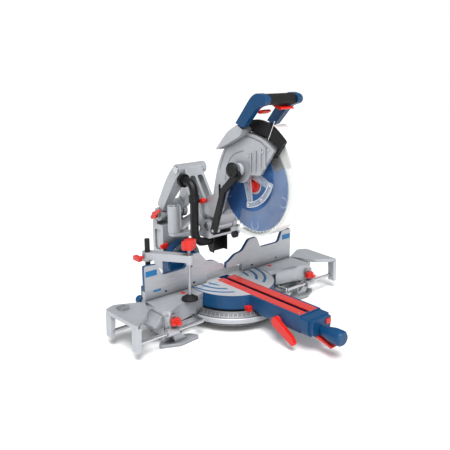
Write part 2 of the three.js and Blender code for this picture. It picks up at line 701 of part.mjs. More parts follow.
function headCasting() {
  const neckRoom = bladeRadius + 13;
  const coverLeft = -46;
  const coverRight = -35;
  const cover = slab('x', outline([
    [30, 330, 10], [84, 352, 12], [84, 386, 12], [42, 405, 10], [36, 440, 40], [16, 520, 40],
    [-24, 588, 40], [-72, 622, 30], [-124, 630, 40], [-190, 616, 40], [-233, 586, 6], [-192, 530],
    [-176, 506, 4], [-132, 502, 10], [-118, 478, 20], [-86, 470, 20], [-46, 480, 20], [-24, 430, 40],
    [0, 360, 20],
  ]), coverLeft, coverRight);
  const ribs = [0, 1, 2, 3].map((index) => {
    const y = -140 - index * 20;
    return slab('x', outline([
      [y, 508 + index * 7], [y + 5, 508 + index * 7], [y + 5, 566 + index * 8], [y, 570 + index * 8],
    ]), coverLeft - 3, coverLeft + 1);
  });
  const neck = join(
    bar('x', chopY, chopZ, chopRadius, -37, 37, 24),
    slab('x', outline([
      [chopY - 21, chopZ], [chopY + 20, chopZ + 2], [90, 346, 12], [88, 384, 12], [60, 410, 10],
      aroundArbor(neckRoom, -20), aroundArbor(neckRoom, -34), aroundArbor(neckRoom, -44),
    ]), -37, 37),
    slab('x', outline([
      [34, 334, 4], [90, 340, 12], [88, 384, 12], [60, 410, 10],
      aroundArbor(neckRoom, -20), aroundArbor(neckRoom, -34),
    ]), coverLeft, 62),
  );
  const sidePlate = slab('x', outline([
    [34, 334, 8], [88, 350, 12], [88, 400, 12], [70, 500, 30], [20, 560, 30], [-60, 560, 40],
    [-150, 500, 20], [-150, 430, 20], [-110, 415, 20], [-40, 420, 30],
  ]), 51, 62);
  const gripStruts = [
    slab('x', outline([
      [-4, 566, 8], [-62, 628, 8], [-104, 652, 4], [-128, 640, 4], [-122, 622, 6], [-60, 590, 10],
    ]), -handleHalf, -36),
    slab('x', outline([
      [10, 540], [-40, 610, 20], [-104, 652, 4], [-130, 640, 4], [-90, 590, 20], [-50, 530],
    ]), 51, handleHalf),
  ];
  const bearing = bar('x', arborY, arborZ, 30, 50, 72, 24);
  const bores = [
    bar('x', chopY, chopZ, 9 + gap, -40, 40),
    bar('x', arborY, arborZ, 9 + gap, 40, 80),
    bar('x', guardPivotY, guardPivotZ, 20 + 2 * gap, coverLeft - 5, coverRight + 1, 24),
    bar('x', 80, 386, 5 + pinPlay, coverLeft - 20, coverLeft + 26),
  ];
  return cut(join(cover, ...ribs, neck, sidePlate, ...gripStruts, bearing), ...bores);
}

// Narrow steel channel over the top of the blade, between the walls of the lower guard.
function upperGuard() {
  const wallIn = -11;
  const wallOut = 42;
  const roofOut = bladeRadius + 10.5;
  const walls = [[wallIn, wallIn + 3], [wallOut - 3, wallOut]].map(([from, to]) => (
    band('x', arborY, arborZ, bladeRadius - 40.5, roofOut, -18, 150, from, to)
  ));
  const roof = band('x', arborY, arborZ, roofOut - 4, roofOut, -18, 150, wallIn, wallOut);
  return join(...walls, roof);
}

function frontGuard() {
  return slab('x', outline([
    [-46, 622], [-72, 645, 20], [-104, 662, 24], [-150, 670, 30], [-196, 660, 24], [-234, 636, 20],
    [-262, 612, 6], [-222, 560, 4], [-205, 572], [-236, 592, 6], [-192, 620, 40], [-124, 634, 40],
    [-74, 626, 20],
  ]), -34.6, -23);
}

function motorHousing() {
  const y = 10;
  const z = 475;
  const body = turnedBody('x', y, z, [
    [0, 62 + gap], [46, 62 + gap], [46, 128], [44, 134], [44, 160], [36, 172], [0, 172],
  ], 28);
  const vents = Array.from({ length: 12 }, (_, index) => {
    const angle = (index / 12) * Math.PI * 2;
    return bar('x', y + Math.cos(angle) * 45.5, z + Math.sin(angle) * 45.5, 4, 138, 158, 8);
  });
  return cut(body, ...vents);
}

// Blue D-shaped handle with a round cross bar for the grip sleeve.
function handle() {
  const armShape = outline([
    [-99, 656.5], [-131, 645, 6], [-188, 706, 14], [-226, 716, 14], [-226, 738, 14], [-190, 748, 16],
    [-164, 736, 20],
  ]);
  const leftArm = slab('x', armShape, -handleHalf, -gripHalf);
  const rightArm = slab('x', armShape, gripHalf, handleHalf);
  const crossBar = bar('x', gripY, gripZ, 12, -gripHalf - 1, gripHalf + 1);
  const triggerBore = bar('x', triggerY, triggerZ, 4 + pinPlay, -gripHalf - 8, gripHalf + 8, 16);
  return cut(join(leftArm, rightArm, crossBar), triggerBore);
}

function gripSleeve() {
  const shape = outline([
    [gripY - 20, gripZ + 4, 12], [gripY - 8, gripZ + 19, 12], [gripY + 14, gripZ + 17, 12],
    [gripY + 20, gripZ - 2, 12], [gripY + 14, gripZ - 14, 8], [gripY - 14, gripZ - 14, 10],
  ]);
  const sleeve = slab('x', shape, -gripHalf + gap, gripHalf - gap);
  return sleeve.subtract(bar('x', gripY, gripZ, 12 + gap, -80, 80));
}

function trigger() {
  return join(
    bar('x', triggerY, triggerZ, 4, -gripHalf - 6, gripHalf + 6, 16),
    slab('x', outline([
      [-174, 719], [-180, 714], [-190, 709.8], [-217, 706, 4], [-220, 699, 3],
      [-206, 697.5, 6], [-186, 706.5], [-174, 712],
    ]), -6, 46),
  );
}

function lockOffButton() {
  return slab('x', outline([
    [-168, 692, 3], [-188, 700, 3], [-196, 694, 3], [-178, 686, 3],
  ]), -gripHalf + 0.6, -23);
}

function sawBlade() {
  const shape = new THREE.Shape();
  const pitch = (Math.PI * 2) / teeth;
  for (let tooth = 0; tooth < teeth; tooth += 1) {
    const start = tooth * pitch;
    const profile = [
      [bladeRadius, start], [bladeRadius - 1.5, start + pitch * 0.42],
      [bladeRadius - 8, start + pitch * 0.66],
    ];
    profile.forEach(([radius, angle], index) => {
      const place = [arborY + radius * Math.cos(angle), arborZ + radius * Math.sin(angle)];
      if (tooth === 0 && index === 0) {
        shape.moveTo(...place);
      } else {
        shape.lineTo(...place);
      }
    });
  }
  shape.closePath();
  const disc = slab('x', shape, bladeX - bladeThick / 2, bladeX + bladeThick / 2);
  return disc.subtract(bar('x', arborY, arborZ, 9 + gap, bladeX - 5, bladeX + 5));
}

// Spindle with its inner flange; the bolt holds the outer flange against the blade.
function arborShaft() {
  const bladeRight = bladeX + bladeThick / 2;
  return turnedBody('x', arborY, arborZ, [
    [0, bladeX - 6], [9, bladeX - 6], [9, bladeRight + gap], [22, bladeRight + gap],
    [22, bladeRight + 7], [9, bladeRight + 9], [9, 84], [0, 84],
  ], 28);
}

function arborBolt() {
  const face = bladeX - bladeThick / 2 - gap;
  const flange = bar('x', arborY, arborZ, 24, face - 4, face, 28);
  const recess = bar('x', arborY, arborZ, 9 + gap, bladeX - 6 - gap, face + 1);
  const head = bar('x', arborY, arborZ, 13, face - 11.5, face - 3, 6);
  return cut(join(flange, head), recess);
}

// Clear channel that covers the front and bottom of the blade.
function lowerGuard() {
  const start = 118;
  const end = 286;
  const walls = [[guardLeft, guardLeft + guardWall], [guardRight - guardWall, guardRight]];
  const sides = walls.map(([from, to]) => (
    band('x', guardCentreY, guardCentreZ, 108, guardRadius, start, end, from, to, 28)
  ));
  const rim = band('x', guardCentreY, guardCentreZ, guardRadius - guardWall, guardRadius,
    start, end, guardLeft, guardRight, 28);
  return join(...sides, rim);
}

const hubFace = -59;            // outer face of the lower guard's black hub

function guardBracket() {
  const left = guardLeft - gap - 5;
  const right = guardLeft - gap;
  const arc = band('x', guardPivotY, guardPivotZ, 106, 124, 196, 266, left, right);
  const spokes = [202, 258].map((angle) => strap('x',
    [guardPivotY, guardPivotZ],
    [guardPivotY + 112 * Math.cos(deg(angle)), guardPivotZ + 112 * Math.sin(deg(angle))],
    20, 9, left, right));
  const hub = bar('x', guardPivotY, guardPivotZ, 20, hubFace, right, 24);
  return join(arc, ...spokes, hub);
}

const crankY = guardPivotY + crankRadius * Math.cos(deg(crankAngle));
const crankZ = guardPivotZ + crankRadius * Math.sin(deg(crankAngle));

// Black link that lifts the lower guard as the head comes down.
function guardLink() {
  const left = hubFace - 12;
  const right = hubFace - gap - 1;
  const bar1 = strap('x', [linkFootY, linkFootZ], [-34, 440], 12, 10, left, right);
  const bar2 = strap('x', [-34, 440], [crankY, crankZ], 10, 12, left, right);
  const foot = bar('x', linkFootY, linkFootZ, 5 + pinPlay, left - 1, right + 1);
  return cut(join(bar1, bar2), foot);
}

function guardRoller() {
  return turnedBody('x', -42, 291, [
    [0, guardLeft - 14], [11, guardLeft - 14], [11, guardLeft - gap], [0, guardLeft - gap],
  ], 28);
}

function headLockPin() {
  return turnedBody('x', 80, 386, [
    [0, -66], [9, -66], [9, -52], [5, -52], [5, -30], [0, -30],
  ], 24);
}

// ---------------------------------------------------------------- fences

function fixedFence() {
  const wall = block(fixedFenceInner, wingEnd, fenceFront, fenceFront + 15,
    tableTop + gap, fixedFenceTop);
  const holes = [132, wingEnd - 77].map((x) => (
    bar('y', x, tableTop + 13.6, 3.2, fenceFront - 1, fenceFront + 16, 16)
  ));
  return cut(wall, ...holes);
}

// Tall fence that slides on the fixed one; its low inner end passes under the head.
function slidingFence() {
  const inner = 6;
  const low = fixedFenceTop + gap;
  const plate = slab('y', outline([
    [inner, low], [inner, fenceLow - 23, 4], [17, fenceLow - 21, 8], [46, fenceLow - 1, 10],
    [80, fenceLow + 4, 10], [112, fenceTop - 1, 8], [150, fenceTop, 6], [161, fenceLow + 19, 4],
    [168, fenceLow, 10], [wingEnd - 65, fenceLow, 10], [wingEnd - 57, fenceLow + 19, 4],
    [wingEnd - 48, fenceTop - 3, 8],
    [wingEnd, fenceTop, 6], [wingEnd, low],
  ]), fenceFront, fenceFront + fenceThick);
  const rail = join(
    block(fixedFenceInner + 22, wingEnd, fenceFront + 4, fenceFront + 22, low, low + 14.65),
    block(fixedFenceInner + 22, wingEnd, fenceFront + 15 + gap, fenceFront + 22, tableTop + 9, low + 1),
  );
  return join(plate, rail);
}

function fenceLock(side) {
  const knob = turnedBody('y', side * (wingEnd - 6), tableTop - 8, [
    [0, wingBack - 12], [4, wingBack - 12], [4, wingBack + gap], [12, wingBack + gap],
    [14, wingBack + 4], [14, wingBack + 20], [11, wingBack + 24], [0, wingBack + 24],
  ], 20);
  return knob;
}

// ---------------------------------------------------------------- extension supports

function extensionPlate() {
  const plateLow = tableTop - 12;
  const top = slab('z', outline([
    [wingEnd + 1, 35, 3], [supportEnd - 36, 78, 8], [supportEnd, 62, 8], [supportEnd - 9, -101, 8],
    [supportEnd - 75, -51, 6],
  ]), plateLow, tableTop);
  const legs = [[supportEnd - 26, -98, -72], [supportEnd - 20, 36, 64]].map(([x, y0, y1]) => (
    slab('y', outline([
      [x, plateLow + 1], [x + 6, supportLegFoot, 4], [x + 20, supportLegFoot, 4],
      [x + 18, plateLow + 1],
    ]), y0, y1)
  ));
  const sockets = [rodFrontY, rodRearY].map((y) => (
    bar('x', y, rodHeight, rodRadius + gap, supportEnd - 32, supportEnd - 10)
  ));
  const reliefs = [0, 1, 2].map((index) => (
    block(supportEnd - 62 + index * 16, supportEnd - 54 + index * 16, -44, 30, plateLow - 1, plateLow + 7)
  ));
  return cut(join(top, ...legs), ...sockets, ...reliefs);
}

// Bent steel rod that carries a support: two legs joined by a cross bar inside the base.
function supportRod() {
  const outer = supportEnd - 11;
  const crossBar = bar('y', rodInner, rodHeight, rodRadius, rodFrontY, rodRearY, 20);
  return join(
    crossBar,
    bar('x', rodFrontY, rodHeight, rodRadius, rodInner, outer, 20),
    bar('x', rodRearY, rodHeight, rodRadius, rodInner, outer, 20),
  );
}

function extensionLock() {
  return join(
    block(wingEnd - 40, wingEnd - 12, -96, -80 - gap - 1, 74, 92),
    block(wingEnd - 32, wingEnd - 20, -112, -94, 78, 88),
  );
}

function repeatStop() {
  const base = slab('z', outline([
    [30 - supportEnd, 20, 4], [60 - supportEnd, 20, 4], [60 - supportEnd, 52, 4],
    [30 - supportEnd, 52, 4],
  ]), tableTop + gap, tableTop + 4);
  const upright = block(32 - supportEnd, 58 - supportEnd, 20, 24, tableTop + 3, tableTop + 12);
  return join(base, upright);
}

// ---------------------------------------------------------------- work clamp

function clampArm() {
  const arm = strap('z', [postX, postY], [spindleX, spindleY], 15, 13, clampArmLow + 6, clampArmHigh);
  const collar = bar('z', postX, postY, 17, clampArmLow, clampArmHigh);
  const nose = bar('z', spindleX, spindleY, 13, clampArmLow, clampArmHigh);
  const bores = [
    bar('z', postX, postY, postRadius + pinPlay, clampArmLow - 1, clampArmHigh + 1),
    bar('z', spindleX, spindleY, 5 + pinPlay, clampArmLow - 1, clampArmHigh + 1),
  ];
  return cut(join(arm, collar, nose), ...bores);
}

function clampLock() {
  const x = postX - 17 - gap;
  return join(
    bar('x', postY, clampArmLow + 14, 5, x - 14, x, 20),
    block(x - 26, x - 12, postY - 16, postY + 16, clampArmLow + 7, clampArmLow + 21),
  );
}

// Screw spindle with its wing knob on top.
function clampSpindle() {
  const wing = slab('z', outline([
    [spindleX - 26, spindleY - 7, 7], [spindleX + 26, spindleY - 7, 7],
    [spindleX + 26, spindleY + 7, 7], [spindleX - 26, spindleY + 7, 7],
  ]), clampArmHigh + 20, clampArmHigh + 46);
  return join(
    bar('z', spindleX, spindleY, 5, padTop - 10, clampArmHigh + 22, 20),
    bar('z', spindleX, spindleY, 14, clampArmHigh + 17, clampArmHigh + 48, 28),
    wing,
  );
}

function clampPad() {
  const pad = turnedBody('z', spindleX, spindleY, [
    [0, tableTop + gap], [26, tableTop + gap], [26, padTop - 11], [14, padTop - 4],
    [9, padTop], [0, padTop],
  ], 28);
  return pad.subtract(bar('z', spindleX, spindleY, 5 + pinPlay, padTop - 10.4, padTop + 8, 20));
}

// ---------------------------------------------------------------- assembly

saw.add(
  part('base_casting', baseCasting(), silver),
  part('mitre_scale_ring', scaleRing(), darkSteel),
  part('clamp_post', bar('z', postX, postY, postRadius, 85, postTop), black),
  part('turntable', turntableCasting(), blue),
  part('kerf_plate_left', kerfInsert(-1), red),
  part('kerf_plate_right', kerfInsert(1), red),
  part('arm_end_cap', endCap(), blue),
  part('detent_override_button', overrideButton(), red),
  part('mitre_lock_knob', mitreKnob(), blue),
  part('detent_lever', detentLever(), red),
  part('bevel_lock_lever', bevelLockLever(), red),
  part('bevel_pivot_pin', bevelPin(), steel),
  part('bevel_scale', bevelScale(), bright),
  part('bevel_column', column(), silver),
  part('rear_hinge_pin', crossPin(rearHingeY, hingeHeight, 9, columnHalf, 15, 8), steel),
  part('apex_pin', crossPin(apexY, apexHeight, 9, columnHalf, 13, 4), steel),
  part('lower_rear_link', lowerRearLink(), silver),
  part('lower_front_link', lowerFrontLink(), silver),
  part('elbow_pin', elbowPin(), steel),
  part('glide_lock_lever', glideLockLever(), red),
  part('carriage', carriage(), silver),
  part('front_hinge_pin', crossPin(frontHingeY, hingeHeight, 7, columnHalf - 2, 11, 4), steel),
  part('chop_pin', crossPin(chopY, chopZ, 9, columnHalf - 2, 13, 3.5), steel),
  part('dust_duct', dustDuct(), black),
  part('dust_elbow', dustElbow(), black),
  part('head_casting', headCasting(), silver),
  part('upper_guard', upperGuard(), darkSteel),
  part('front_guard', frontGuard(), black),
  part('motor_housing', motorHousing(), blue),
  part('handle', handle(), blue),
  part('grip_sleeve', gripSleeve(), black),
  part('trigger', trigger(), red),
  part('lock_off_button', lockOffButton(), red),
  part('head_lock_pin', headLockPin(), red),
  part('saw_blade', sawBlade(), bladeBlue),
  part('arbor_shaft', arborShaft(), steel),
  part('arbor_bolt', arborBolt(), red),
  part('lower_guard', lowerGuard(), clear),
  part('guard_bracket', guardBracket(), black),
  part('guard_link', guardLink(), black),
  part('guard_roller', guardRoller(), black),
  part('repeat_stop', repeatStop(), steel),
  part('clamp_arm', clampArm(), silver),
  part('clamp_lock_knob', clampLock(), red),
  part('clamp_spindle', clampSpindle(), red),
  part('clamp_pad', clampPad(), black),
);

const rearLinkGroup = new THREE.Group();
rearLinkGroup.add(part('upper_rear_link', upperRearLink(), silver));
rearLinkGroup.position.set(0, rearHingeY, hingeHeight);
rearLinkGroup.rotation.x = linkLean;

const frontLinkGroup = new THREE.Group();
frontLinkGroup.add(part('upper_front_link', upperFrontLink(), silver));
frontLinkGroup.position.set(0, frontHingeY, hingeHeight);
frontLinkGroup.rotation.x = -linkLean;
saw.add(rearLinkGroup, frontLinkGroup);

[[-1, 'left'], [1, 'right']].forEach(([side, name]) => {
  const onSide = (shape) => (side > 0 ? shape : mirrored(shape));
  saw.add(
    part(`fixed_fence_${name}`, onSide(fixedFence()), silver),
    part(`sliding_fence_${name}`, onSide(slidingFence()), bright),
    part(`fence_lock_${name}`, fenceLock(side), blue),
    part(`extension_support_${name}`, onSide(extensionPlate()), silver),
    part(`support_rod_${name}`, onSide(supportRod()), steel),
    part(`extension_lock_${name}`, onSide(extensionLock()), red),
  );
});

// The saw stands with the middle of its length and depth over the origin.
const bounds = new THREE.Box3().setFromObject(saw);
saw.position.y = -(bounds.min.y + bounds.max.y) / 2;

export default saw;
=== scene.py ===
import json
import math

import bmesh
import bpy
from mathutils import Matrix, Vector


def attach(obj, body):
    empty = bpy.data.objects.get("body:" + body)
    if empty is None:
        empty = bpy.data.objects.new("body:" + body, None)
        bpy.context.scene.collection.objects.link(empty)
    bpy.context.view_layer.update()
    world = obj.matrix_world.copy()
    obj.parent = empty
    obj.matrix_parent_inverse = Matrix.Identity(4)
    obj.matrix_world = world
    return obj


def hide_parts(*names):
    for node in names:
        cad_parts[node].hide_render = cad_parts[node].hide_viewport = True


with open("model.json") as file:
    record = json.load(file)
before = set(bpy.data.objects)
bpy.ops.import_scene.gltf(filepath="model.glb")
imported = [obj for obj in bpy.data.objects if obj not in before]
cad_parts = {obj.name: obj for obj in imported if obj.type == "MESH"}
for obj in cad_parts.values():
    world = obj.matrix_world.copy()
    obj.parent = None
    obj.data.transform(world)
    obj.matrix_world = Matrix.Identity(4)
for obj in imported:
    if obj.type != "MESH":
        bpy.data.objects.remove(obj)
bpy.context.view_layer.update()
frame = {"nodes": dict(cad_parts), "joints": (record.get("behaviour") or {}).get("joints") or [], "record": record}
MM = 0.001
NODES = frame["nodes"]
# The mitre axis, in mm behind the middle of the model.
AXIS_Y = next(j for j in frame["joints"] if j["name"] == "mitre")["pos_m"][1] / MM
BODY_OF = {n: b for b, ns in frame["record"]["behaviour"]["bodies"].items() for n in ns}

# Sizes shared with the solids, in mm from the mitre axis.
TABLE_TOP = 115.0
TABLE_R = 146.0
ARBOR = (-110.0, 463.0)
GUARD_PIVOT = (-86.0, 514.0)
GUARD_CENTRE = (-97.0, 487.0)
GUARD_R = 188.0


def at(x, y, z):
    return Vector((x, y + AXIS_Y, z)) * MM


# ------------------------------------------------------------------ material graphs

class Graph:
    """A node material with the helpers that every finish below uses."""

    def __init__(self, name, rough=0.5, metal=0.0):
        self.mat = bpy.data.materials.new(name)
        self.mat.use_nodes = True
        self.nodes = self.mat.node_tree.nodes
        self.links = self.mat.node_tree.links
        self.bsdf = self.nodes["Principled BSDF"]
        self.bsdf.inputs["Roughness"].default_value = rough
        self.bsdf.inputs["Metallic"].default_value = metal
        coord = self.put("ShaderNodeTexCoord")
        self.place = self.put("ShaderNodeVectorMath", operation="MULTIPLY_ADD")
        self.links.new(coord.outputs["Object"], self.place.inputs[0])
        self.place.inputs[1].default_value = (1000, 1000, 1000)
        self.place.inputs[2].default_value = (0, -AXIS_Y, 0)
        split = self.put("ShaderNodeSeparateXYZ", Vector=self.place.outputs[0])
        self.x, self.y, self.z = split.outputs
        self.geo = self.put("ShaderNodeNewGeometry")
        facing = self.put("ShaderNodeSeparateXYZ", Vector=self.geo.outputs["True Normal"])
        self.nx, self.ny, self.nz = facing.outputs

    def put(self, kind, **inputs):
        node = self.nodes.new(kind)
        for key, value in inputs.items():
            if hasattr(node, key) and key not in node.inputs:
                setattr(node, key, value)
            elif isinstance(value, bpy.types.NodeSocket):
                self.links.new(value, node.inputs[key])
            else:
                node.inputs[key].default_value = value
        return node

    def math(self, op, a, b=0.0, c=0.0, clamp=False):
        node = self.nodes.new("ShaderNodeMath")
        node.operation = op
        node.use_clamp = clamp
        for socket, value in zip(node.inputs, (a, b, c)):
            if isinstance(value, bpy.types.NodeSocket):
                self.links.new(value, socket)
            else:
                socket.default_value = value
        return node.outputs[0]

    def noise(self, scale, detail=3.0, rough=0.55, stretch=(1, 1, 1)):
        vector = self.put("ShaderNodeVectorMath", operation="MULTIPLY")
        self.links.new(self.place.outputs[0], vector.inputs[0])
        vector.inputs[1].default_value = stretch
        return self.put("ShaderNodeTexNoise", Vector=vector.outputs[0], Scale=scale, Detail=detail,
                        Roughness=rough).outputs["Fac"]

    def ramp(self, fac, low, high, a=0.0, b=1.0):
        """fac from low to high becomes a to b."""
        node = self.put("ShaderNodeMapRange")
        self.links.new(fac, node.inputs["Value"])
        for name, value in (("From Min", low), ("From Max", high), ("To Min", a), ("To Max", b)):
            node.inputs[name].default_value = value
        return node.outputs["Result"]

    def blend(self, fac, a, b):
        node = self.nodes.new("ShaderNodeMix")
        node.data_type = "RGBA"
        for socket, value in ((node.inputs[0], fac), (node.inputs[6], a), (node.inputs[7], b)):
            if isinstance(value, bpy.types.NodeSocket):
                self.links.new(value, socket)
            else:
                socket.default_value = (*value, 1.0) if isinstance(value, tuple) else value
        return node.outputs[2]

    def both(self, *masks):
        result = masks[0]
        for mask in masks[1:]:
            result = self.math("MULTIPLY", result, mask)
        return result

    def either(self, *masks):
        result = masks[0]
        for mask in masks[1:]:
            result = self.math("MAXIMUM", result, mask)
        return result

    def band(self, value, low, high, soft=0.4):
        """1 between low and high, in mm, with soft edges."""
        up = self.ramp(value, low - soft, low + soft)
        down = self.ramp(value, high - soft, high + soft, 1.0, 0.0)
        return self.math("MULTIPLY", up, down)

    def radius(self, a, b, u, v):
        du = self.math("SUBTRACT", a, u)
        dv = self.math("SUBTRACT", b, v)
        return self.math("SQRT", self.math("ADD", self.math("MULTIPLY", du, du),
                                           self.math("MULTIPLY", dv, dv)))

    def finish(self, colour, height=None, bump=0.15, distance=0.0003, edge=0.6, wear=0.25,
               edge_tint=(0.92, 0.93, 0.95), rough=None):
        """Rounded edges, a painted edge highlight and patchy wear on the corners, fine relief, and the colour."""
        soft = self.put("ShaderNodeBevel", Radius=0.0011)
        soft.samples = 4
        dot = self.put("ShaderNodeVectorMath", operation="DOT_PRODUCT")
        self.links.new(soft.outputs[0], dot.inputs[0])
        self.links.new(self.geo.outputs["Normal"], dot.inputs[1])
        corner = self.ramp(dot.outputs["Value"], 0.995, 0.86)
        patch = self.ramp(self.noise(0.06, 4), 0.42, 0.62)
        # Corners blend towards edge_tint: the even part set by edge is a painted edge highlight, the noisy part
        # set by wear is wear.
        edge_highlight_and_wear = self.math("MULTIPLY", corner, self.math("MULTIPLY_ADD", patch, wear, edge * 0.4))
        self.links.new(self.blend(edge_highlight_and_wear, colour, edge_tint), self.bsdf.inputs["Base Color"])
        if rough is not None:
            self.links.new(rough, self.bsdf.inputs["Roughness"])
        relief = self.put("ShaderNodeBump", Strength=bump, Distance=distance)
        self.links.new(soft.outputs[0], relief.inputs["Normal"])
        self.links.new(height if height is not None else self.noise(1.2, 2), relief.inputs["Height"])
        self.links.new(relief.outputs[0], self.bsdf.inputs["Normal"])
        return self.mat

    def shade(self, colour, amount=0.10, scale=0.02):
        """The colour, a little lighter and darker from place to place."""
        low = tuple(c * (1 - amount) for c in colour)
        high = tuple(min(1.0, c * (1 + amount)) for c in colour)
        return self.blend(self.ramp(self.noise(scale, 4), 0.3, 0.7), low, high)


def painted(name, colour, rough=0.4, metal=0.0, grain=1.4, bump=0.18, wear=0.2,
            edge_tint=(0.85, 0.87, 0.9), coat=0.0):
    g = Graph(name, rough, metal)
    g.bsdf.inputs["Specular IOR Level"].default_value = 0.32
    g.bsdf.inputs["Coat Weight"].default_value = coat
    g.bsdf.inputs["Coat Roughness"].default_value = 0.15
    uneven = g.ramp(g.noise(0.05, 4), 0.3, 0.7, rough - 0.06, rough + 0.08)
    return g.finish(g.shade(colour), height=g.noise(grain, 3), bump=bump, wear=wear,
                    edge_tint=edge_tint, rough=uneven)


SILVER = (0.40, 0.415, 0.44)
BLUE = (0.002, 0.048, 0.135)
RED = (0.60, 0.012, 0.006)
BLACK = (0.006, 0.006, 0.007)


def casting(name, colour=SILVER):
    """Sprayed metallic paint over a sand casting: fine sparkle, faint pits, worn corners with a painted edge
    highlight, and painted shade in its hollows.
    """
    g = Graph(name, 0.4, 0.45)
    sparkle = g.ramp(g.noise(2.2, 2), 0.35, 0.7)
    base = g.shade(colour, 0.07, 0.015)
    base = g.blend(g.math("MULTIPLY", sparkle, 0.18), base, (0.80, 0.82, 0.85))
    cast = g.math("MULTIPLY_ADD", g.noise(0.35, 5), 0.6, g.math("MULTIPLY", g.noise(1.8, 2), 0.4))
    uneven = g.ramp(g.noise(0.04, 3), 0.3, 0.7, 0.30, 0.44)
    # Painted shade: the colour darkens towards 30 % of itself where ambient occlusion finds hollows and corners.
    ao_painted_shade = g.put("ShaderNodeAmbientOcclusion", Distance=0.03)
    ao_painted_shade.samples = 6
    shade = g.ramp(ao_painted_shade.outputs["AO"], 0.35, 0.95)
    base = g.blend(shade, tuple(c * 0.30 for c in colour), base)
    return g.finish(base, height=cast, bump=0.28, distance=0.0004, wear=0.35, rough=uneven)


def brushed_fence(name):
    """Milled bright front, blue painted back, ends and edges, and a fine dark tick rule."""
    g = Graph(name, 0.3, 0.0)
    lines = g.noise(1.0, 3, 0.6, (0.02, 1.0, 1.6))
    front = g.ramp(g.ny, -0.6, -0.8)
    bright = g.blend(g.ramp(lines, 0.3, 0.75), (0.33, 0.345, 0.37), (0.58, 0.59, 0.61))
    pitch = g.math("FRACT", g.math("MULTIPLY", g.x, 0.25))
    tick = g.both(g.ramp(pitch, 0.12, 0.06), g.band(g.z, 152, 156, 0.3), front)
    bright = g.blend(g.math("MULTIPLY", tick, 0.35), bright, (0.25, 0.26, 0.28))
    colour = g.blend(front, g.shade(BLUE), bright)
    g.links.new(g.math("MULTIPLY", front, 0.35), g.bsdf.inputs["Metallic"])
    return g.finish(colour, height=lines, bump=0.12, wear=0.0, edge=0.0,
                    edge_tint=(0.03, 0.12, 0.25), rough=g.ramp(lines, 0.3, 0.7, 0.42, 0.55))


def turntable_finish(name):
    """Blue sides; a bright turned top with three blue crescents on each side of the arm."""
    g = Graph(name, 0.4, 0.0)
    g.bsdf.inputs["Specular IOR Level"].default_value = 0.32
    radius = g.radius(g.x, g.y, 0, 0)
    side = g.math("ABSOLUTE", g.x)
    up = g.both(g.ramp(g.nz, 0.8, 0.9), g.ramp(g.z, TABLE_TOP - 0.9, TABLE_TOP - 0.5))
    on_disc = g.ramp(radius, TABLE_R - 2.2, TABLE_R - 1.6, 1.0, 0.0)
    top = g.both(up, on_disc)
    ring = g.radius(g.x, g.y, 0, 33)
    arcs = g.either(*[g.band(ring, r - w, r + w) for r, w in ((78, 4.6), (107.5, 5.0), (137, 4.6))])
    crescents = g.both(arcs, g.ramp(side, 64.5, 65.5), g.ramp(g.y, 30, 31, 1.0, 0.0))
    turning = g.noise(0.5, 3, 0.6)
    swirl = g.ramp(g.math("FRACT", g.math("MULTIPLY", radius, 0.42)), 0.0, 1.0)
    bright = g.blend(g.math("MULTIPLY_ADD", turning, 0.6, g.math("MULTIPLY", swirl, 0.25)),
                     (0.50, 0.515, 0.54), (0.74, 0.75, 0.77))
    bright = g.blend(crescents, bright, (0.008, 0.11, 0.26))
    colour = g.blend(top, g.shade(BLUE, 0.14), bright)
    g.links.new(g.math("MULTIPLY", g.both(top, g.math("SUBTRACT", 1.0, crescents)), 0.5),
                g.bsdf.inputs["Metallic"])
    relief = g.math("SUBTRACT", g.noise(1.4, 2), g.math("MULTIPLY", g.both(top, crescents), 2.0))
    return g.finish(colour, height=relief, bump=0.2, wear=0.12, edge=0.35,
                    edge_tint=(0.25, 0.40, 0.55))


def scale_finish(name):
    """Dark slope with fine pale degree marks, between two bright rims, and painted near-black shade at the foot.
    """
    g = Graph(name, 0.45, 0.3)
    radius = g.radius(g.x, g.y, 0, 0)
    angle = g.math("MULTIPLY", g.math("ARCTAN2", g.x, g.math("MULTIPLY", g.y, -1.0)), 180 / math.pi)
    slope = g.math("MULTIPLY", g.band(radius, 151.5, 173.5), g.ramp(g.nz, 0.15, 0.25))
    fine = g.ramp(g.math("ABSOLUTE", g.math("SUBTRACT", g.math("FRACT", angle), 0.5)), 0.36, 0.42)
    fives = g.ramp(g.math("ABSOLUTE", g.math(
        "SUBTRACT", g.math("FRACT", g.math("MULTIPLY", angle, 0.2)), 0.5)), 0.465, 0.475)
    marks = g.either(g.both(fine, g.band(radius, 167, 171)), g.both(fives, g.band(radius, 161, 171)))
    specks = g.ramp(g.noise(0.55, 4, 0.7), 0.42, 0.68)
    dark = g.blend(specks, (0.030, 0.031, 0.034), (0.15, 0.155, 0.17))
    dark = g.blend(g.math("MULTIPLY", marks, 0.55), dark, (0.60, 0.61, 0.63))
    # Below z 31–33 the rim colour turns near-black: painted shade under the ring's lower edge.
    rim = g.blend(g.ramp(g.z, 33, 31), g.shade((0.42, 0.43, 0.46), 0.06), (0.02, 0.02, 0.022))
    colour = g.blend(slope, rim, dark)
    return g.finish(colour, height=g.noise(0.8, 3), bump=0.3, wear=0.3)


def kerf_finish(name):
    """Glossy red anodised plate, in long paler and darker streaks along its length."""
    g = Graph(name, 0.3, 0.15)
    g.bsdf.inputs["Coat Weight"].default_value = 0.6
    g.bsdf.inputs["Coat Roughness"].default_value = 0.12
    lines = g.noise(1.0, 3, 0.6, (1.6, 0.015, 1.0))
    colour = g.blend(g.ramp(lines, 0.3, 0.75), (0.52, 0.010, 0.006), (0.74, 0.028, 0.016))
    return g.finish(colour, height=lines, bump=0.08, wear=0.3, edge_tint=(0.95, 0.30, 0.22))


